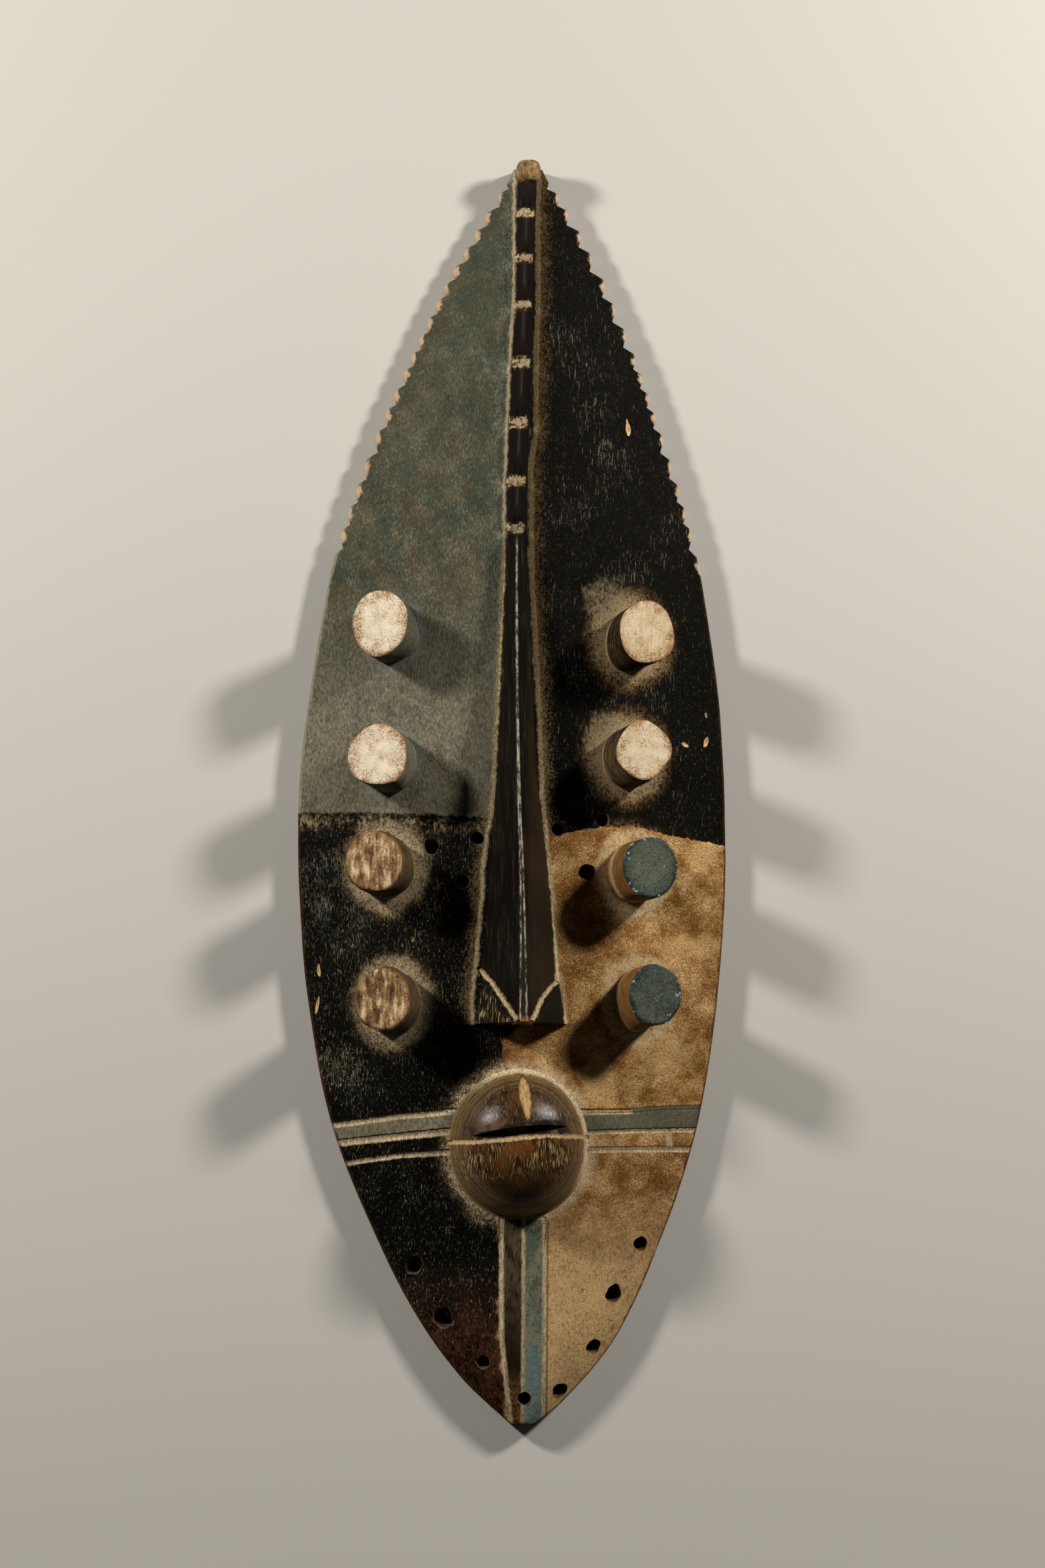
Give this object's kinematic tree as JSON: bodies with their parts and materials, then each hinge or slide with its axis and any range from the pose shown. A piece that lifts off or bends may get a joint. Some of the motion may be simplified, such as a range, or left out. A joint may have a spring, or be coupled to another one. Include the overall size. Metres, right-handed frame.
{
  "type": "grebo mask",
  "caption": "Long leaf-shaped wooden face mask with tube eyes, a long ridged nose, a ball-shaped mouth and a saw-toothed crest, hollowed behind and painted in quarters.",
  "frame": {"origin": "under the middle of the mask's box, on the plane of the flat rim of its back", "axes": "+Z out of the face, +Y towards the top of the mask along its length, +X to the right of the face as it is looked at"},
  "size_m": [0.2362, 0.7, 0.0796],
  "materials": {
    "carved_painted_wood": "matt earth paints and kaolin over dark wood, polished by handling on the nose and mouth"
  },
  "bodies": {
    "root": {"mask": "carved_painted_wood"}
  },
  "joints": []
}
